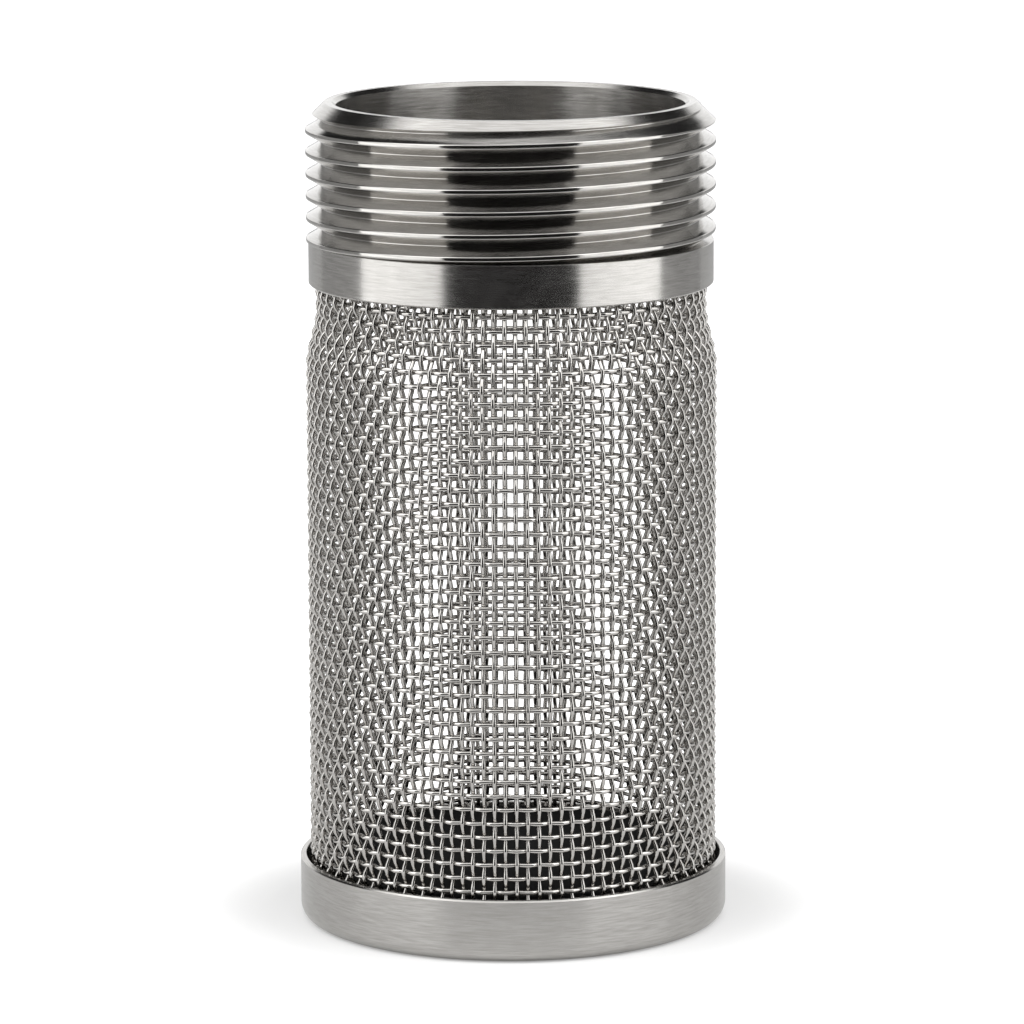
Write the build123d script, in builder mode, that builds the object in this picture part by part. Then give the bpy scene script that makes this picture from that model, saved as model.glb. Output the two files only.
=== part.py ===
from build123d import *
from math import cos, pi
import os

# Non-return valve strainer, made of four kinds of piece: a turned collar with a male pipe thread,
# a sleeve of plain woven wire cloth (upright wires and hoop wires), and a turned end cap.
# The strainer stands on its cap. Z is its axis, and Z = 0 is the underside of the cap.

os.makedirs("parts", exist_ok=True)

# Whole strainer, in millimetres like every size here
overall_height = 84.0

# Collar: parallel pipe thread, 1 1/4 inch, 11.5 turns to the inch, and a plain band below it.
# A ring groove in the band holds the cloth between an outer skirt and an inner lip.
thread_diameter = 41.48
thread_length = 14.0
lead_in_chamfer = 1.94
band_step = 0.21
band_height = 4.4
band_edge_chamfer = 0.15
collar_skirt_wall = 0.62
collar_lip_wall = 1.07
collar_socket_depth = 3.0
bore_chamfer = 0.4

# Wire cloth
wire = 0.36
cloth_diameter = 41.9
neck_height = 3.4
shoulder_height = 4.8
upright_count = 120
hoop_pitch = 1.44
first_hoop_height = 1.34
hoop_sides = 16

# End cap
cap_height = 6.4
cap_rim_wall = 0.6
cap_socket_depth = 3.6
cap_foot_radius = 1.35
cap_rim_chamfer = 0.15

# Clearances
weave_clearance = 0.01
socket_clearance = 0.04
cap_rim_clearance = 0.35

# Levels along the axis
collar_top = overall_height
band_top = collar_top - thread_length
collar_bottom = band_top - band_height
cloth_top = collar_bottom + collar_socket_depth
cloth_bottom = cap_height - cap_socket_depth
shoulder_top = collar_bottom - neck_height
shoulder_bottom = shoulder_top - shoulder_height

# The hoops are polygons, so their flats lie a little inside the corners
flat_share = cos(pi / hoop_sides)
cloth_radius = cloth_diameter / 2

# The neck of the sleeve fits inside the collar's skirt
band_radius = thread_diameter / 2 - band_step
socket_outside = band_radius - collar_skirt_wall
neck_radius = socket_outside - socket_clearance


def hoop_radius(height):
    """Corner radius of the cloth's outside at a height: body, sloping shoulder or neck."""
    if height <= shoulder_bottom:
        return cloth_radius
    if height >= shoulder_top:
        return neck_radius
    share = (height - shoulder_bottom) / shoulder_height
    return cloth_radius + share * (neck_radius - cloth_radius)


def upright_outside(corner_radius):
    """Outer face of the uprights, just inside the flats of the hoops around them."""
    return corner_radius * flat_share - wire - weave_clearance


# Threaded collar: the thread's outside diameter stands for its turns
socket_inside = upright_outside(neck_radius) - wire - socket_clearance
bore_radius = socket_inside - collar_lip_wall
with BuildPart() as threaded_collar:
    with BuildSketch(Plane.XZ) as collar_section:
        with BuildLine():
            Polyline(
                (bore_radius, collar_bottom),
                (bore_radius, collar_top - bore_chamfer),
                (bore_radius + bore_chamfer, collar_top),
                (thread_diameter / 2 - lead_in_chamfer, collar_top),
                (thread_diameter / 2, collar_top - lead_in_chamfer),
                (thread_diameter / 2, band_top),
                (band_radius, band_top),
                (band_radius, collar_bottom + band_edge_chamfer),
                (band_radius - band_edge_chamfer, collar_bottom),
                (socket_outside, collar_bottom),
                (socket_outside, cloth_top),
                (socket_inside, cloth_top),
                (socket_inside, collar_bottom),
                close=True,
            )
        make_face()
    revolve(axis=Axis.Z)
threaded_collar.part.label = "threaded_collar"
export_step(threaded_collar.part, "parts/threaded_collar.step")

# Upright wires: one bent bar, drawn from the side, then repeated round the sleeve,
# with the front of the sleeve midway between two of them
body_outside = upright_outside(cloth_radius)
neck_outside = upright_outside(neck_radius)
with BuildPart() as one_upright:
    with BuildSketch(Plane.XZ) as upright_side:
        with BuildLine():
            Polyline(
                (body_outside, cloth_bottom),
                (body_outside, shoulder_bottom),
                (neck_outside, shoulder_top),
                (neck_outside, cloth_top),
                (neck_outside - wire, cloth_top),
                (neck_outside - wire, shoulder_top),
                (body_outside - wire, shoulder_bottom),
                (body_outside - wire, cloth_bottom),
                close=True,
            )
        make_face()
    extrude(amount=wire / 2, both=True)

upright_step = 360 / upright_count
with BuildPart() as upright_wires:
    with PolarLocations(radius=0, count=upright_count, start_angle=upright_step / 2):
        add(one_upright.part)
upright_wires.part.label = "upright_wires"
export_step(upright_wires.part, "parts/upright_wires.step")

# Hoop wires: polygon rings round the uprights, one above another
hoop_count = int((cloth_top - wire / 2 - cloth_bottom - first_hoop_height) / hoop_pitch) + 1
with BuildPart() as hoop_wires:
    for index in range(hoop_count):
        hoop_bottom = cloth_bottom + first_hoop_height + index * hoop_pitch - wire / 2
        outer_corner = hoop_radius(hoop_bottom)
        inner_corner = outer_corner - wire / flat_share
        with BuildSketch(Plane.XY.offset(hoop_bottom)):
            RegularPolygon(radius=outer_corner, side_count=hoop_sides)
            RegularPolygon(radius=inner_corner, side_count=hoop_sides, mode=Mode.SUBTRACT)
    extrude(amount=wire)
hoop_wires.part.label = "hoop_wires"
export_step(hoop_wires.part, "parts/hoop_wires.step")

# End cap: a turned disc whose socket holds the sleeve between a thin rim and a raised boss
rim_inside = cloth_radius + cap_rim_clearance
cap_radius = rim_inside + cap_rim_wall
boss_radius = body_outside - wire - socket_clearance
with BuildPart() as base_cap:
    with BuildSketch(Plane.XZ) as cap_section:
        with BuildLine():
            Polyline(
                (cap_radius, cap_foot_radius),
                (cap_radius, cap_height - cap_rim_chamfer),
                (cap_radius - cap_rim_chamfer, cap_height),
                (rim_inside, cap_height),
                (rim_inside, cloth_bottom),
                (boss_radius, cloth_bottom),
                (boss_radius, cap_height),
                (0, cap_height),
                (0, 0),
                (cap_radius - cap_foot_radius, 0),
            )
            RadiusArc(
                (cap_radius - cap_foot_radius, 0),
                (cap_radius, cap_foot_radius),
                -cap_foot_radius,
            )
        make_face()
    revolve(axis=Axis.Z)
base_cap.part.label = "base_cap"
export_step(base_cap.part, "parts/base_cap.step")
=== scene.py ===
import bpy
import bmesh
from math import atan2, cos, pi, radians, sin, sqrt, tan
from mathutils import Matrix, Vector


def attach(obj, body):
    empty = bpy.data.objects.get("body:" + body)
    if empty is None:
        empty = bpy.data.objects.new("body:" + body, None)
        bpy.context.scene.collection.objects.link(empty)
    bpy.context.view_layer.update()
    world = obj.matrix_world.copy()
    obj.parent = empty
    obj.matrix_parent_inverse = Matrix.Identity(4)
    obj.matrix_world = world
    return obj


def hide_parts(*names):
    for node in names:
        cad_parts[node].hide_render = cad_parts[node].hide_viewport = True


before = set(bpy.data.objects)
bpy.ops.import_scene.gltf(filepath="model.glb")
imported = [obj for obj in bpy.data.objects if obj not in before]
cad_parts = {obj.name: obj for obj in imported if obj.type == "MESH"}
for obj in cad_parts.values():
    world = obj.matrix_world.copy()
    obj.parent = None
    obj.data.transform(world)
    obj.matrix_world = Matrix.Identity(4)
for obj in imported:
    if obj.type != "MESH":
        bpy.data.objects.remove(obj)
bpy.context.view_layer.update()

# Non-return valve strainer: a threaded collar, a sleeve of plain woven wire cloth and an end cap.
# Sizes are in millimetres, and mm turns them into Blender's metres.
mm = 0.001


def linearColour(hexCode):
    # sRGB hex to the linear values that Blender's sockets take
    channels = [int(hexCode[i:i + 2], 16) / 255 for i in (1, 3, 5)]
    linear = [c / 12.92 if c <= 0.04045 else ((c + 0.055) / 1.055) ** 2.4 for c in channels]
    return linear + [1.0]


def addNode(tree, kind, settings=None, links=None):
    # One node. A socket among the links is linked, and any other value is typed into the input.
    node = tree.nodes.new(kind)
    for name, value in (settings or {}).items():
        setattr(node, name, value)
    for key, value in (links or {}).items():
        if isinstance(value, bpy.types.NodeSocket):
            tree.links.new(value, node.inputs[key])
        else:
            node.inputs[key].default_value = value
    return node


def newShapeTree(name, inputs, takesMesh=False):
    # An empty Geometry Nodes tree with named inputs; returns the tree, its input node and its output node
    tree = bpy.data.node_groups.new(name, "GeometryNodeTree")
    kinds = {int: "NodeSocketInt", float: "NodeSocketFloat", bpy.types.Material: "NodeSocketMaterial"}
    if takesMesh:
        tree.interface.new_socket("Blank", in_out="INPUT", socket_type="NodeSocketGeometry")
    for label, value in inputs.items():
        tree.interface.new_socket(label, in_out="INPUT", socket_type=kinds[type(value)])
    tree.interface.new_socket("Shape", in_out="OUTPUT", socket_type="NodeSocketGeometry")
    return tree, tree.nodes.new("NodeGroupInput").outputs, tree.nodes.new("NodeGroupOutput")


def bakeShape(piece, tree, inputs):
    # Runs the tree on the piece once and keeps the result as a plain mesh
    modifier = piece.modifiers.new(tree.name, "NODES")
    modifier.node_group = tree
    for item in tree.interface.items_tree:
        if item.in_out == "INPUT" and item.name in inputs:
            modifier[item.identifier] = inputs[item.name]
    bpy.context.scene.collection.objects.link(piece)
    evaluated = piece.evaluated_get(bpy.context.evaluated_depsgraph_get())
    made = bpy.data.meshes.new_from_object(evaluated)
    piece.modifiers.remove(modifier)
    piece.data = made
    made.name = piece.name


def turnedMesh(name, section, segments):
    # A closed section of (radius, height) points, turned round the Z axis
    mesh = bmesh.new()
    rings = []
    for radius, height in section:
        if radius == 0:
            rings.append([mesh.verts.new((0, 0, height * mm))])
            continue
        ring = []
        for step in range(segments):
            turn = 2 * pi * step / segments
            ring.append(mesh.verts.new((radius * cos(turn) * mm, radius * sin(turn) * mm, height * mm)))
        rings.append(ring)
    for index, ring in enumerate(rings):
        after = rings[(index + 1) % len(rings)]
        if len(ring) == 1 and len(after) == 1:
            continue
        for step in range(segments):
            corners = [ring[step % len(ring)], ring[(step + 1) % segments % len(ring)],
                       after[(step + 1) % segments % len(after)], after[step % len(after)]]
            mesh.faces.new(list(dict.fromkeys(corners)))
    bmesh.ops.recalc_face_normals(mesh, faces=mesh.faces)
    made = bpy.data.meshes.new(name)
    mesh.to_mesh(made)
    mesh.free()
    return made


def smoothOver(mesh, sharpAngle):
    # Smooth shading, with the edges that are turned sharper than the angle left crisp
    mesh.polygons.foreach_set("use_smooth", [True] * len(mesh.polygons))
    mesh.set_sharp_from_angle(angle=radians(sharpAngle))
    mesh.update()


# Camera: the photograph's own view, fitted to the strainer's rims and threads
cameraFit = {"lens": 199.33, "sensor": 36.0, "place": (0.004, -569.65, 145.97),
             "elevation": 10.3627, "roll": -0.2097}


def placeCamera(fit):
    camera = bpy.data.cameras.new("photoCamera")
    camera.lens = fit["lens"]
    camera.sensor_width = fit["sensor"]
    camera.clip_start = 0.01
    camera.clip_end = 20
    tilt, roll = radians(fit["elevation"]), radians(fit["roll"])
    back = Vector((0, -cos(tilt), sin(tilt)))
    level = Vector((0, sin(tilt), cos(tilt)))
    right = cos(roll) * Vector((1, 0, 0)) + sin(roll) * level
    up = cos(roll) * level - sin(roll) * Vector((1, 0, 0))
    holder = bpy.data.objects.new("photoCamera", camera)
    holder.matrix_world = Matrix.Translation(Vector(fit["place"]) * mm) @ Matrix((right, up, back)).transposed().to_4x4()
    bpy.context.scene.collection.objects.link(holder)
    bpy.context.scene.camera = holder


placeCamera(cameraFit)
print("camera placed")

# Turned stainless steel, brushed round its axis: soft along the axis and almost mirror-like round it,
# so lamps show as upright bands with crisp sides. Real brush marks are about 0.05 mm apart;
# they are drawn three times as coarse, so that they show.
# bossPaintedShade is painted shade: the flat dark colour given to the boss face inside the cloth sleeve
turnedFinish = {"colour": "#BDBBB8", "darkest": "#A9A7A3", "roughness": 0.23, "roughnessSpread": 0.06,
                "anisotropy": 0.83, "markSpacing": 0.15, "markLength": 2.5, "markDepth": 0.0014,
                "waviness": 0.25, "waveLength": 6.0, "threadBottom": 70.0, "threadTop": 82.0, "threadInside": 18.4,
                "threadSmoothness": 0.6, "bossTop": 6.0, "bossRadius": 19.8, "collarHeight": 60.0, "bossPaintedShade": "#303030"}


def makeTurnedSteel(finish):
    material = bpy.data.materials.new("turnedStainlessSteel")
    material.use_nodes = True
    tree = material.node_tree
    tree.nodes.clear()
    place = addNode(tree, "ShaderNodeVectorMath", {"operation": "SCALE"},
                    {0: addNode(tree, "ShaderNodeTexCoord").outputs["Object"], "Scale": 1 / mm}).outputs[0]
    wave = addNode(tree, "ShaderNodeTexNoise", None, {"Vector": place, "Scale": 1 / finish["waveLength"], "Detail": 1.0})
    waveShift = addNode(tree, "ShaderNodeMath", {"operation": "MULTIPLY"},
                        {0: wave.outputs["Fac"], 1: finish["waviness"]}).outputs[0]
    split = addNode(tree, "ShaderNodeSeparateXYZ", None, {0: place}).outputs
    flat = addNode(tree, "ShaderNodeCombineXYZ", None, {0: split[0], 1: split[1]}).outputs[0]
    radius = addNode(tree, "ShaderNodeVectorMath", {"operation": "LENGTH"}, {0: flat}).outputs["Value"]
    height = addNode(tree, "ShaderNodeMath", {"operation": "ADD"}, {0: split[2], 1: waveShift}).outputs[0]
    across = [addNode(tree, "ShaderNodeMath", {"operation": "DIVIDE"}, {0: source, 1: finish["markSpacing"]}).outputs[0]
              for source in (height, radius)]
    along = [addNode(tree, "ShaderNodeMath", {"operation": "DIVIDE"}, {0: source, 1: finish["markLength"]}).outputs[0]
             for source in (split[0], split[1])]
    streakPlace = addNode(tree, "ShaderNodeCombineXYZ", None, {0: along[0], 1: along[1], 2: across[0]}).outputs[0]
    marks = addNode(tree, "ShaderNodeTexNoise", {"noise_dimensions": "4D"},
                    {"Vector": streakPlace, "W": across[1], "Scale": 1.0, "Detail": 3.0, "Roughness": 0.6}).outputs["Fac"]
    cloud = addNode(tree, "ShaderNodeTexNoise", None, {"Vector": place, "Scale": 0.5, "Detail": 3.0}).outputs["Fac"]
    tone = addNode(tree, "ShaderNodeMix", {"data_type": "RGBA"},
                   {0: addNode(tree, "ShaderNodeMapRange", None, {0: marks, 1: 0.3, 2: 0.62}).outputs[0],
                    6: linearColour(finish["darkest"]), 7: linearColour(finish["colour"])}).outputs[2]
    mixed = addNode(tree, "ShaderNodeMath", {"operation": "ADD"}, {0: marks, 1: cloud}).outputs[0]
    rough = addNode(tree, "ShaderNodeMapRange", None,
                    {0: mixed, 1: 0.7, 2: 1.3, 3: finish["roughness"] - finish["roughnessSpread"] / 2,
                     4: finish["roughness"] + finish["roughnessSpread"] / 2}).outputs[0]

    def between(value, low, high):
        # 1 where the value lies between two limits, and 0 elsewhere
        above = addNode(tree, "ShaderNodeMath", {"operation": "GREATER_THAN"}, {0: value, 1: low}).outputs[0]
        below = addNode(tree, "ShaderNodeMath", {"operation": "LESS_THAN"}, {0: value, 1: high}).outputs[0]
        return addNode(tree, "ShaderNodeMath", {"operation": "MULTIPLY"}, {0: above, 1: below}).outputs[0]

    # The thread was cut with a sharper tool and shines more. The boss face inside the cloth is a flat dark colour:
    # painted shade for the shade inside the sleeve.
    onThread = addNode(tree, "ShaderNodeMath", {"operation": "MULTIPLY"},
                       {0: between(split[2], finish["threadBottom"], finish["threadTop"]),
                        1: between(radius, finish["threadInside"], 30.0)}).outputs[0]
    onShadedBoss = addNode(tree, "ShaderNodeMath", {"operation": "MULTIPLY"},
                     {0: between(split[2], finish["bossTop"], finish["collarHeight"]),
                      1: between(radius, -1.0, finish["bossRadius"])}).outputs[0]
    smoother = addNode(tree, "ShaderNodeMapRange", None, {0: onThread, 3: 1.0, 4: finish["threadSmoothness"]}).outputs[0]
    rough = addNode(tree, "ShaderNodeMath", {"operation": "MULTIPLY"}, {0: rough, 1: smoother}).outputs[0]
    bump = addNode(tree, "ShaderNodeBump", None, {"Strength": 1.0, "Distance": finish["markDepth"] * mm, "Height": marks})
    shader = addNode(tree, "ShaderNodeBsdfPrincipled", None,
                     {"Base Color": tone, "Metallic": 1.0, "Roughness": rough, "Anisotropic": finish["anisotropy"],
                      "Anisotropic Rotation": 0.25, "Normal": bump.outputs[0],
                      "Tangent": addNode(tree, "ShaderNodeTangent", {"direction_type": "RADIAL", "axis": "Z"}).outputs[0]})
    paintedShade = addNode(tree, "ShaderNodeBsdfDiffuse", None, {"Color": linearColour(finish["bossPaintedShade"])})
    either = addNode(tree, "ShaderNodeMixShader", None, {0: onShadedBoss, 1: shader.outputs[0], 2: paintedShade.outputs[0]})
    addNode(tree, "ShaderNodeOutputMaterial", None, {"Surface": either.outputs[0]})
    return material


# Bright drawn stainless wire: nearly a mirror, so each wire shows one or two thin bright lines,
# with faint die marks and duller spots that break the lines up
wireFinish = {"colour": "#CBC9C6", "darkest": "#AFACA8", "roughness": 0.1, "roughnessSpread": 0.06,
              "spotSize": 0.5, "spotDepth": 0.004}


def makeDrawnWire(finish):
    material = bpy.data.materials.new("drawnStainlessWire")
    material.use_nodes = True
    tree = material.node_tree
    tree.nodes.clear()
    place = addNode(tree, "ShaderNodeVectorMath", {"operation": "SCALE"},
                    {0: addNode(tree, "ShaderNodeTexCoord").outputs["Object"], "Scale": 1 / mm}).outputs[0]
    spots = addNode(tree, "ShaderNodeTexNoise", None,
                    {"Vector": place, "Scale": 1 / finish["spotSize"], "Detail": 2.0}).outputs["Fac"]
    tone = addNode(tree, "ShaderNodeMix", {"data_type": "RGBA"},
                   {0: spots, 6: linearColour(finish["darkest"]), 7: linearColour(finish["colour"])}).outputs[2]
    rough = addNode(tree, "ShaderNodeMapRange", None,
                    {0: spots, 1: 0.35, 2: 0.65, 3: finish["roughness"] - finish["roughnessSpread"] / 2,
                     4: finish["roughness"] + finish["roughnessSpread"] / 2}).outputs[0]
    bump = addNode(tree, "ShaderNodeBump", None, {"Strength": 1.0, "Distance": finish["spotDepth"] * mm, "Height": spots})
    shader = addNode(tree, "ShaderNodeBsdfPrincipled", None,
                     {"Base Color": tone, "Metallic": 1.0, "Roughness": rough, "Normal": bump.outputs[0]})
    addNode(tree, "ShaderNodeOutputMaterial", None, {"Surface": shader.outputs[0]})
    return material


turnedSteel = makeTurnedSteel(turnedFinish)
drawnWire = makeDrawnWire(wireFinish)
print("finishes made")

# Collar: the blank is turned, and then a helical groove is cut into it for the pipe thread
collar = {"boreRadius": 17.648, "boreChamfer": 0.4, "threadRadius": 20.74, "leadIn": 1.94, "bandRadius": 20.53,
          "bottom": 65.6, "bandTop": 70.0, "top": 84.0, "edge": 0.06, "skirtInside": 19.91, "lipOutside": 18.718,
          "socketTop": 68.6, "segments": 256}
thread = {"pitch": 25.4 / 11.5, "frontCrest": 70.65, "crestFlat": 0.22, "crestRounding": 0.15, "rootFlat": 0.06,
          "startTurns": -2, "turns": 8.5, "flankAngle": 30.0, "clipHeight": 69.99}


def collarSection(c):
    edge = c["edge"]
    return [
        (c["boreRadius"], c["bottom"] + 0.1), (c["boreRadius"], c["top"] - c["boreChamfer"]),
        (c["boreRadius"] + c["boreChamfer"], c["top"]), (c["threadRadius"] - c["leadIn"], c["top"]),
        (c["threadRadius"], c["top"] - c["leadIn"]), (c["threadRadius"], c["bandTop"]),
        (c["bandRadius"] - edge, c["bandTop"]), (c["bandRadius"], c["bandTop"] - edge),
        (c["bandRadius"], c["bottom"] + 0.15), (c["bandRadius"] - 0.15, c["bottom"]),
        (c["skirtInside"] + 0.05, c["bottom"]), (c["skirtInside"], c["bottom"] + 0.05),
        (c["skirtInside"], c["socketTop"]), (c["lipOutside"], c["socketTop"]),
        (c["lipOutside"], c["bottom"] + 0.05), (c["lipOutside"] - 0.05, c["bottom"]),
        (c["boreRadius"] + 0.1, c["bottom"]),
    ]


def grooveProfile(c, t):
    # Half of the V groove as (half width, radius), from its blunt root out to where the crest rounds over
    slope = tan(radians(t["flankAngle"]))
    rounding = t["crestRounding"]
    edge = t["pitch"] / 2 - t["crestFlat"] / 2
    turned = radians(90 - t["flankAngle"])
    flankEnd = (edge - rounding * sin(turned), c["threadRadius"] - rounding * (1 - cos(turned)))
    rootDepth = flankEnd[0] / slope - t["rootFlat"]
    points = [(t["rootFlat"] * slope, flankEnd[1] - rootDepth)]
    for step in range(6):
        lean = turned * (1 - step / 6)
        points.append((edge - rounding * sin(lean), c["threadRadius"] - rounding * (1 - cos(lean))))
    points.append((edge, c["threadRadius"] + 0.0005))
    points.append((edge, c["threadRadius"] + 0.5))
    return points


def threadTree(profileObject, slabObject, inputs):
    tree, given, out = newShapeTree("cutPipeThread", inputs, takesMesh=True)
    spiral = addNode(tree, "GeometryNodeCurveSpiral", None,
                     {"Resolution": given["Points per turn"], "Rotations": given["Turns"], "Start Radius": given["Radius"],
                      "End Radius": given["Radius"], "Height": given["Rise"], "Reverse": True}).outputs[0]
    lifted = addNode(tree, "GeometryNodeTransform", None,
                     {0: spiral, "Translation": addNode(tree, "ShaderNodeCombineXYZ", None,
                                                        {2: given["Start height"]}).outputs[0]}).outputs[0]
    upright = addNode(tree, "GeometryNodeSetCurveNormal", {"mode": "Z_UP"}, {0: lifted}).outputs[0]
    profile = addNode(tree, "GeometryNodeObjectInfo", None, {0: profileObject}).outputs["Geometry"]
    groove = addNode(tree, "GeometryNodeCurveToMesh", None,
                     {0: upright, 1: profile, "Fill Caps": True}).outputs[0]
    slab = addNode(tree, "GeometryNodeObjectInfo", None, {0: slabObject}).outputs["Geometry"]
    clipped = addNode(tree, "GeometryNodeMeshBoolean", {"operation": "INTERSECT", "solver": "MANIFOLD"}).inputs
    tree.links.new(groove, clipped[1])
    tree.links.new(slab, clipped[1])
    cut = addNode(tree, "GeometryNodeMeshBoolean", {"operation": "DIFFERENCE", "solver": "MANIFOLD"},
                  {0: given["Blank"], 1: clipped[0].node.outputs[0]}).outputs[0]
    real = addNode(tree, "GeometryNodeRealizeInstances", None, {0: cut}).outputs[0]
    dressed = addNode(tree, "GeometryNodeSetMaterial", None, {0: real, "Material": given["Finish"]}).outputs[0]
    tree.links.new(dressed, out.inputs[0])
    return tree


def makeCollar():
    # Stand-ins for the tree: the groove's section as a closed curve, and the slab that keeps it above the band
    half = grooveProfile(collar, thread)
    middle = collar["threadRadius"]
    loop = [(-x, y) for x, y in half] + half[::-1]
    curve = bpy.data.curves.new("grooveSection", "CURVE")
    curve.dimensions = "2D"
    curve.fill_mode = "NONE"
    spline = curve.splines.new("POLY")
    spline.points.add(len(loop) - 1)
    # Along the spiral the curve's X points outwards and its Y runs along the axis
    for point, (halfWidth, radius) in zip(spline.points, loop):
        point.co = ((radius - middle) * mm, halfWidth * mm, 0, 1)
    spline.use_cyclic_u = True
    profileObject = bpy.data.objects.new("grooveSection", curve)
    slabObject = bpy.data.objects.new("bandSlab", turnedMesh(
        "bandSlab", [(0, thread["clipHeight"]), (30, thread["clipHeight"]), (30, 90), (0, 90)], 16))
    pitch = thread["pitch"]
    inputs = {"Points per turn": collar["segments"], "Turns": thread["turns"], "Radius": middle * mm,
              "Rise": thread["turns"] * pitch * mm,
              "Start height": (thread["frontCrest"] + pitch * (0.25 + 0.5 + thread["startTurns"])) * mm,
              "Finish": turnedSteel}
    piece = bpy.data.objects.new("threadedCollar", turnedMesh("collarBlank", collarSection(collar), collar["segments"]))
    for helper in (profileObject, slabObject):
        bpy.context.scene.collection.objects.link(helper)
    bakeShape(piece, threadTree(profileObject, slabObject, inputs), inputs)
    for helper in (profileObject, slabObject):
        bpy.data.objects.remove(helper)
    smoothOver(piece.data, 28)
    return piece


threadedCollar = makeCollar()
print("collar turned and threaded", len(threadedCollar.data.polygons), "faces")

# Wire cloth: a plain weave, two over and under courses of wire that bend round each other by half a wire each
cloth = {"wire": 0.45, "hoopBend": 0.17, "bodyRadius": 20.44, "neckRadius": 19.4,"shoulderBottom": 57.2, "shoulderTop": 63.0,
         "bottom": 2.87, "top": 68.5, "uprights": 120, "hoops": 45, "firstHoop": 4.14, "hoopPitch": 1.44,
         "uprightBends": 3, "hoopBends": 2, "uprightSides": 6, "hoopSides": 8, "straying": 0.16,
         "sideDrift": 0.28, "sideWaves": 3, "sideWavesFrom": 12.33,
         "heightDrift": 0.33, "heightWave": 62.0, "heightWaveFrom": 5.0}


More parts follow.
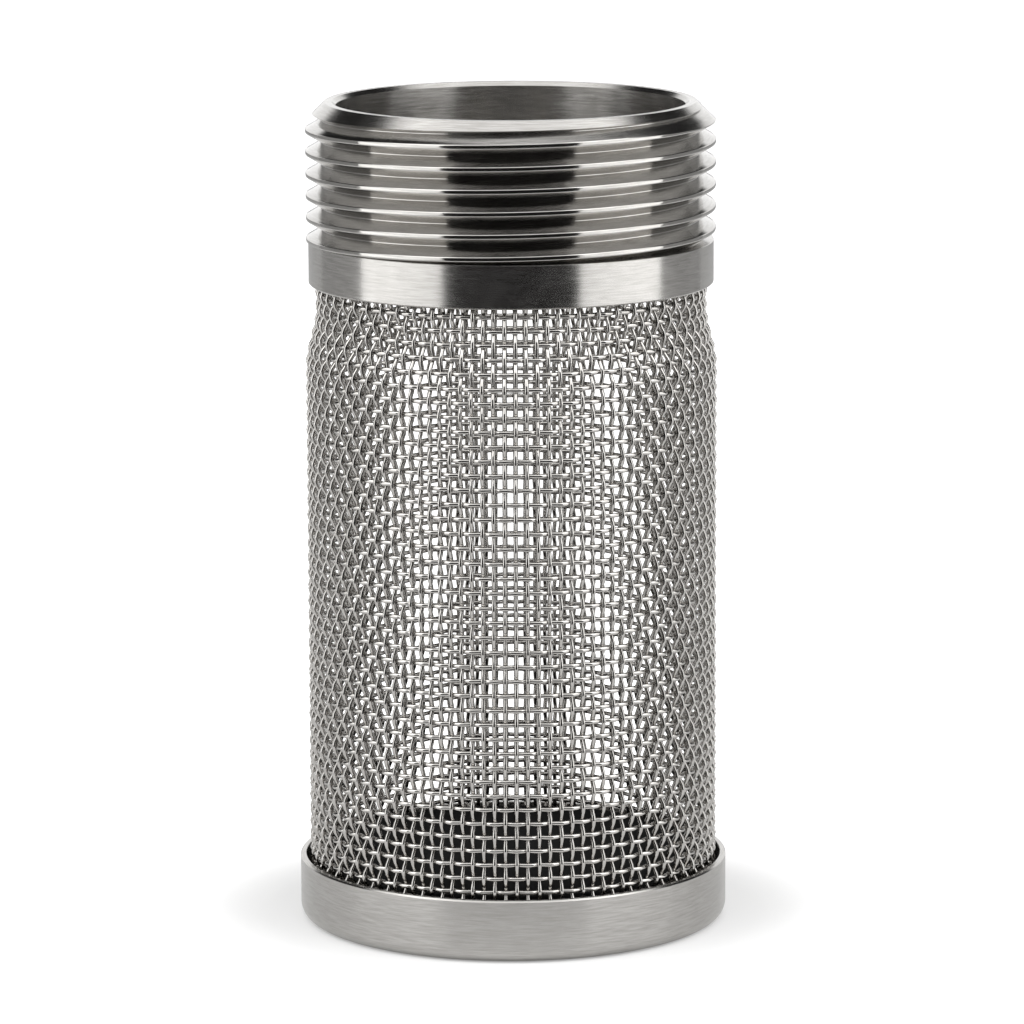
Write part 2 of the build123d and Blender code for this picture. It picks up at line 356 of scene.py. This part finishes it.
def clothTree(name, c, inputs, isHoops):
    # Wires are laid out straight, and then bent: round the sleeve, over and under each other, and a little astray
    tree, given, out = newShapeTree(name, inputs)
    if isHoops:
        wire = addNode(tree, "GeometryNodeCurvePrimitiveCircle", None,
                       {"Resolution": given["Points per wire"], "Radius": c["bodyRadius"] * mm}).outputs[0]
        step = addNode(tree, "ShaderNodeCombineXYZ", None, {2: given["Hoop pitch"]}).outputs[0]
        points = addNode(tree, "GeometryNodeMeshLine", {"mode": "OFFSET"},
                         {0: given["Wires"], 2: (0, 0, c["firstHoop"] * mm), 3: step}).outputs[0]
        laid = addNode(tree, "GeometryNodeInstanceOnPoints", None, {0: points, 2: wire}).outputs[0]
    else:
        count = addNode(tree, "ShaderNodeMath", {"operation": "SUBTRACT"}, {0: given["Points per wire"], 1: 1.0}).outputs[0]
        rise = addNode(tree, "ShaderNodeMath", {"operation": "MULTIPLY"},
                       {0: count, 1: c["hoopPitch"] / c["uprightBends"] * mm}).outputs[0]
        start = (c["bodyRadius"] * mm, 0, (c["firstHoop"] - c["hoopPitch"]) * mm)
        wire = addNode(tree, "GeometryNodeCurvePrimitiveLine", {"mode": "DIRECTION"},
                       {0: start, 2: (0, 0, 1), 3: rise}).outputs[0]
        wire = addNode(tree, "GeometryNodeResampleCurve", {"mode": "COUNT"}, {0: wire, 2: given["Points per wire"]}).outputs[0]
        points = addNode(tree, "GeometryNodeMeshLine", {"mode": "OFFSET"}, {0: given["Wires"], 3: (0, 0, 0)}).outputs[0]
        index = addNode(tree, "GeometryNodeInputIndex").outputs[0]
        middle = addNode(tree, "ShaderNodeMath", {"operation": "ADD"}, {0: index, 1: 0.5}).outputs[0]
        turn = addNode(tree, "ShaderNodeMath", {"operation": "MULTIPLY"}, {0: middle, 1: 2 * pi / c["uprights"]}).outputs[0]
        angles = addNode(tree, "ShaderNodeCombineXYZ", None, {2: turn}).outputs[0]
        laid = addNode(tree, "GeometryNodeInstanceOnPoints", None, {0: points, 2: wire, 5: angles}).outputs[0]
    real = addNode(tree, "GeometryNodeRealizeInstances", None, {0: laid}).outputs[0]

    def math(operation, first, second=0.0, clamp=False):
        return addNode(tree, "ShaderNodeMath", {"operation": operation, "use_clamp": clamp}, {0: first, 1: second}).outputs[0]

    place = addNode(tree, "GeometryNodeInputPosition").outputs[0]
    x, y, z = addNode(tree, "ShaderNodeSeparateXYZ", None, {0: place}).outputs
    # Round and up in wire counts, from the front of the sleeve and from the first hoop
    turn = math("ARCTAN2", y, x)
    around = math("MULTIPLY", math("ADD", turn, pi / 2), c["uprights"] / (2 * pi))
    course = math("DIVIDE", math("SUBTRACT", z, c["firstHoop"] * mm), given["Hoop pitch"])
    phase = math("MULTIPLY", math("ADD", math("SUBTRACT", around, 0.5), course), pi)
    bend = math("MULTIPLY", math("COSINE", phase), given["Bend"])
    # Uneven cloth: whole wires sit a little to one side, and both courses follow the same unevenness
    astray = []
    for stretch in ((0.8 / mm, 0.8 / mm, 0.05 / mm), (0.04 / mm, 0.04 / mm, 0.6 / mm)):
        spread = addNode(tree, "ShaderNodeVectorMath", {"operation": "MULTIPLY"}, {0: place, 1: stretch}).outputs[0]
        noise = addNode(tree, "ShaderNodeTexNoise", {"noise_dimensions": "4D"},
                        {"Vector": spread, "W": 7.3, "Scale": 1.0, "Detail": 1.0}).outputs["Fac"]
        astray.append(math("MULTIPLY", math("SUBTRACT", noise, 0.5), given["Straying"]))
    # The mesh was also pulled: closer and wider round the sleeve, and closer near the cap than near the collar
    sideAngle = math("MULTIPLY", math("SUBTRACT", math("ADD", turn, pi / 2), radians(c["sideWavesFrom"])), c["sideWaves"])
    sideDrift = math("MULTIPLY", math("SINE", sideAngle), c["sideDrift"] * mm)
    sideways = math("DIVIDE", math("ADD", astray[0], sideDrift), c["bodyRadius"] * mm)
    newTurn = math("ADD", turn, sideways)
    heightAngle = math("MULTIPLY", math("SUBTRACT", z, c["heightWaveFrom"] * mm), 2 * pi / (c["heightWave"] * mm))
    heightDrift = math("MULTIPLY", math("SINE", heightAngle), -c["heightDrift"] * mm)
    drifted = math("ADD", math("ADD", z, astray[1]), heightDrift)
    height = math("MINIMUM", math("MAXIMUM", drifted, c["bottom"] * mm), c["top"] * mm)
    share = addNode(tree, "ShaderNodeMapRange", {"interpolation_type": "SMOOTHSTEP"},
                    {0: height, 1: c["shoulderBottom"] * mm, 2: c["shoulderTop"] * mm,
                     3: c["bodyRadius"] * mm, 4: c["neckRadius"] * mm}).outputs[0]
    radius = math("ADD", share, bend)
    moved = addNode(tree, "ShaderNodeCombineXYZ", None,
                    {0: math("MULTIPLY", radius, math("COSINE", newTurn)),
                     1: math("MULTIPLY", radius, math("SINE", newTurn)), 2: height}).outputs[0]
    bent = addNode(tree, "GeometryNodeSetPosition", None, {0: real, 2: moved}).outputs[0]
    ring = addNode(tree, "GeometryNodeCurvePrimitiveCircle", None,
                   {"Resolution": given["Sides"], "Radius": given["Wire radius"]}).outputs[0]
    solid = addNode(tree, "GeometryNodeCurveToMesh", None, {0: bent, 1: ring, "Fill Caps": True}).outputs[0]
    shaded = addNode(tree, "GeometryNodeSetShadeSmooth", None, {0: solid}).outputs[0]
    realShape = addNode(tree, "GeometryNodeRealizeInstances", None, {0: shaded}).outputs[0]
    dressed = addNode(tree, "GeometryNodeSetMaterial", None, {0: realShape, "Material": given["Finish"]}).outputs[0]
    tree.links.new(dressed, out.inputs[0])
    return tree


def makeWires(name, isHoops):
    c = cloth
    bends = c["hoopBends"] if isHoops else c["uprightBends"]
    uprightPoints = int((c["top"] - c["firstHoop"]) / c["hoopPitch"] * bends) + 1 + bends
    uprightBend = c["wire"] - c["hoopBend"]
    inputs = {"Wires": c["hoops"] if isHoops else c["uprights"],
              "Points per wire": c["uprights"] * bends if isHoops else uprightPoints,
              "Hoop pitch": c["hoopPitch"] * mm, "Bend": (-c["hoopBend"] if isHoops else uprightBend) * mm,
              "Straying": c["straying"] * mm, "Wire radius": c["wire"] / 2 * mm,
              "Sides": c["hoopSides"] if isHoops else c["uprightSides"], "Finish": drawnWire}
    piece = bpy.data.objects.new(name, bpy.data.meshes.new(name))
    bakeShape(piece, clothTree(name + "Weave", c, inputs, isHoops), inputs)
    return piece


uprightWires = makeWires("uprightWires", False)
hoopWires = makeWires("hoopWires", True)
print("cloth woven", len(uprightWires.data.polygons), "and", len(hoopWires.data.polygons), "faces")

# End cap: a turned cup with a thin rim, a ring groove for the cloth and a boss inside it
cap = {"radius": 21.9, "height": 6.4, "rimInside": 21.3, "rimChamfer": 0.15, "socketFloor": 2.8, "bossRadius": 19.777,
       "bossChamfer": 0.12, "footRadius": 1.35, "footSteps": 12, "edge": 0.05, "segments": 256}


def makeCap(c):
    foot = []
    for step in range(c["footSteps"] + 1):
        lean = pi / 2 * step / c["footSteps"]
        foot.append((c["radius"] - c["footRadius"] * (1 - sin(lean)), c["footRadius"] * (1 - cos(lean))))
    section = [(0, 0)] + foot + [
        (c["radius"], c["height"] - c["rimChamfer"]), (c["radius"] - c["rimChamfer"], c["height"]),
        (c["rimInside"] + c["edge"], c["height"]), (c["rimInside"], c["height"] - c["edge"]),
        (c["rimInside"], c["socketFloor"]), (c["bossRadius"], c["socketFloor"]),
        (c["bossRadius"], c["height"] - c["bossChamfer"]), (c["bossRadius"] - c["bossChamfer"], c["height"]),
        (0, c["height"]),
    ]
    piece = bpy.data.objects.new("endCap", turnedMesh("endCap", section, c["segments"]))
    bpy.context.scene.collection.objects.link(piece)
    piece.data.materials.append(turnedSteel)
    smoothOver(piece.data, 28)
    return piece


endCap = makeCap(cap)
print("cap turned")

for piece, node, slotName in ((threadedCollar, "threaded_collar", "collar"), (uprightWires, "upright_wires", "wire_cloth"),
                              (hoopWires, "hoop_wires", "wire_cloth"), (endCap, "base_cap", "cap")):
    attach(piece, "root")
    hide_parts(node)

# Studio: a white table that ends in front of the strainer, with the dark room beyond it. A softbox stands close
# to each side and a large one hangs above. Behind, the lit backdrop is low, and grey cards stand beside it.
# shadedNearGlow is painted shade: a weaker table glow round the strainer's foot
studio = {"tableFront": -0.24, "tableBack": 3.0, "tableWidth": 4.0, "tableColour": "#D3D3D3", "shadedNearGlow": 0.3, "farGlow": 1.0,
          "mirrorGlow": 0.15, "nearEnd": 0.0225, "farStart": 0.048, "sideRadiance": 1.7, "topRadiance": 1.5, "darkRoom": 0.02,
          "greyGap": 0.36, "backdrop": 1.2, "tableDrop": 0.00002, "backdropTop": 20.0, "frontHalf": 38.0, "sideEnd": 91.0, "cardEnd": 133.0, "sideDistance": 0.35,
          "sideHeight": 0.6, "cardHeight": 0.15, "topHeight": 1.0, "topFront": -1.3, "topBack": 0.3, "topWidth": 2.4,
          "darkCardLow": (0.057, -0.084, 0.0), "darkCardHigh": (0.057, -0.084, 0.055)}


def roundPoint(angle, distance, height=0.0):
    # A place seen from the strainer: degrees from the front towards +X, metres away, metres up
    return Vector((sin(radians(angle)) * distance, -cos(radians(angle)) * distance, height))


def addSoftbox(name, centre, aim, width, height, radiance):
    lamp = bpy.data.lights.new(name, "AREA")
    lamp.shape = "RECTANGLE"
    lamp.size, lamp.size_y = width, height
    lamp.energy = radiance * pi * width * height
    holder = bpy.data.objects.new(name, lamp)
    holder.matrix_world = Matrix.Translation(centre) @ (-aim).to_track_quat("Z", "Y").to_matrix().to_4x4()
    holder.visible_camera = False
    bpy.context.scene.collection.objects.link(holder)


def addSideLight(s, side):
    near, far = [roundPoint(side * angle, s["sideDistance"]) for angle in (s["frontHalf"], s["sideEnd"])]
    along = far - near
    aim = Vector((-along.y, along.x, 0)) * side
    centre = (near + far) / 2 + Vector((0, 0, s["sideHeight"] / 2))
    addSoftbox("sideSoftbox", centre, aim.normalized(), along.length, s["sideHeight"], s["sideRadiance"])


def addCard(name, corners, level):
    # Only reflections see the card
    material = bpy.data.materials.new(name)
    material.use_nodes = True
    tree = material.node_tree
    tree.nodes.clear()
    glow = addNode(tree, "ShaderNodeEmission", None, {"Color": (level, level, level, 1), "Strength": 1.0})
    addNode(tree, "ShaderNodeOutputMaterial", None, {"Surface": glow.outputs[0]})
    mesh = bpy.data.meshes.new(name)
    mesh.from_pydata(corners, [], [(0, 1, 2, 3)])
    mesh.materials.append(material)
    card = bpy.data.objects.new(name, mesh)
    card.visible_camera = False
    card.visible_diffuse = False
    card.visible_shadow = False
    card.visible_transmission = False
    bpy.context.scene.collection.objects.link(card)


def addGreyCard(s, side):
    angles = (s["sideEnd"], s["cardEnd"])
    feet = [roundPoint(side * angle, s["sideDistance"]) for angle in angles]
    tops = [roundPoint(side * angle, s["sideDistance"], s["cardHeight"]) for angle in reversed(angles)]
    addCard("greyCard", feet + tops, s["greyGap"])


def addDarkCard(s):
    # It leans away from the strainer and makes the dark stripe down the middle of the metal
    (low, lowPlace, bottom), (high, highPlace, top) = s["darkCardLow"], s["darkCardHigh"]
    addCard("darkCard", [(-low, lowPlace, bottom), (low, lowPlace, bottom), (high, highPlace, top),
                         (-high, highPlace, top)], s["darkRoom"])


def makeTable(s):
    material = bpy.data.materials.new("whiteTable")
    material.use_nodes = True
    tree = material.node_tree
    tree.nodes.clear()
    path = addNode(tree, "ShaderNodeLightPath").outputs
    # The camera sees the table white to its far end, but the glow is weaker close to the strainer: painted shade round
    # its foot, so that the shadow shows. Metal sees it a little less bright
    place = addNode(tree, "ShaderNodeTexCoord").outputs["Object"]
    distance = addNode(tree, "ShaderNodeVectorMath", {"operation": "LENGTH"}, {0: place}).outputs["Value"]
    level = addNode(tree, "ShaderNodeMapRange", {"interpolation_type": "SMOOTHSTEP"},
                    {0: distance, 1: s["nearEnd"], 2: s["farStart"], 3: s["shadedNearGlow"], 4: s["farGlow"]}).outputs[0]
    cameraGlow = addNode(tree, "ShaderNodeMath", {"operation": "MULTIPLY"}, {0: path["Is Camera Ray"], 1: level}).outputs[0]
    mirrored = addNode(tree, "ShaderNodeMath", {"operation": "MAXIMUM"},
                       {0: path["Is Glossy Ray"], 1: path["Is Transmission Ray"]}).outputs[0]
    strength = addNode(tree, "ShaderNodeMath", {"operation": "MULTIPLY_ADD"},
                       {0: mirrored, 1: s["mirrorGlow"], 2: cameraGlow}).outputs[0]
    paper = addNode(tree, "ShaderNodeBsdfDiffuse", None, {"Color": linearColour(s["tableColour"])})
    glow = addNode(tree, "ShaderNodeEmission", None, {"Color": (1, 1, 1, 1), "Strength": strength})
    both = addNode(tree, "ShaderNodeAddShader", None, {0: paper.outputs[0], 1: glow.outputs[0]})
    addNode(tree, "ShaderNodeOutputMaterial", None, {"Surface": both.outputs[0]})
    # The table lies a hair below the strainer's underside, so that the two faces don't share a plane
    side, top = s["tableWidth"] / 2, -s["tableDrop"]
    mesh = bpy.data.meshes.new("whiteTable")
    mesh.from_pydata([(-side, s["tableFront"], top), (side, s["tableFront"], top), (side, s["tableBack"], top),
                      (-side, s["tableBack"], top)], [], [(0, 1, 2, 3)])
    mesh.materials.append(material)
    table = bpy.data.objects.new("whiteTable", mesh)
    bpy.context.scene.collection.objects.link(table)


def makeRoom(s):
    # The camera sees plain white. Other rays see the room: dark in front and high up, and behind the strainer
    # a low grey gap on each side of the low lit backdrop.
    world = bpy.data.worlds.new("studioRoom")
    world.use_nodes = True
    tree = world.node_tree
    tree.nodes.clear()
    aim = addNode(tree, "ShaderNodeTexCoord").outputs["Generated"]
    x, y, z = addNode(tree, "ShaderNodeSeparateXYZ", None, {0: aim}).outputs
    ahead = addNode(tree, "ShaderNodeMath", {"operation": "MULTIPLY"}, {0: y, 1: -1.0}).outputs[0]
    turn = addNode(tree, "ShaderNodeMath", {"operation": "ARCTAN2"}, {0: x, 1: ahead}).outputs[0]
    turn = addNode(tree, "ShaderNodeMath", {"operation": "ABSOLUTE"}, {0: turn}).outputs[0]
    share = addNode(tree, "ShaderNodeMath", {"operation": "DIVIDE"}, {0: turn, 1: pi}).outputs[0]
    ramp = addNode(tree, "ShaderNodeValToRGB", None, {0: share})
    stops = [(0.0, s["darkRoom"]), (s["sideEnd"] / 180, s["darkRoom"]), ((s["sideEnd"] + 2) / 180, s["greyGap"]),
             (s["cardEnd"] / 180, s["greyGap"]), ((s["cardEnd"] + 3) / 180, s["backdrop"])]
    while len(ramp.color_ramp.elements) < len(stops):
        ramp.color_ramp.elements.new(0.5)
    for element, (position, level) in zip(ramp.color_ramp.elements, stops):
        element.position = position
        element.color = (level, level, level, 1)
    top = sin(radians(s["backdropTop"]))
    high = addNode(tree, "ShaderNodeMapRange", None, {0: z, 1: top - 0.03, 2: top + 0.03}).outputs[0]
    level = s["darkRoom"]
    room = addNode(tree, "ShaderNodeMix", {"data_type": "RGBA"},
                   {0: high, 6: ramp.outputs[0], 7: (level, level, level, 1)}).outputs[2]
    path = addNode(tree, "ShaderNodeLightPath").outputs
    seen = addNode(tree, "ShaderNodeMix", {"data_type": "RGBA"},
                   {0: path["Is Camera Ray"], 6: room, 7: (1, 1, 1, 1)}).outputs[2]
    background = addNode(tree, "ShaderNodeBackground", None, {"Color": seen, "Strength": 1.0})
    addNode(tree, "ShaderNodeOutputWorld", None, {"Surface": background.outputs[0]})
    bpy.context.scene.world = world


makeTable(studio)
makeRoom(studio)
for side in (-1, 1):
    addSideLight(studio, side)
    addGreyCard(studio, side)
addDarkCard(studio)
topDepth = studio["topBack"] - studio["topFront"]
addSoftbox("topSoftbox", Vector((0, studio["topFront"] + topDepth / 2, studio["topHeight"])), Vector((0, 0, -1)),
           studio["topWidth"], topDepth, studio["topRadiance"])
bpy.context.scene.view_settings.view_transform = "Standard"
print("studio lit")
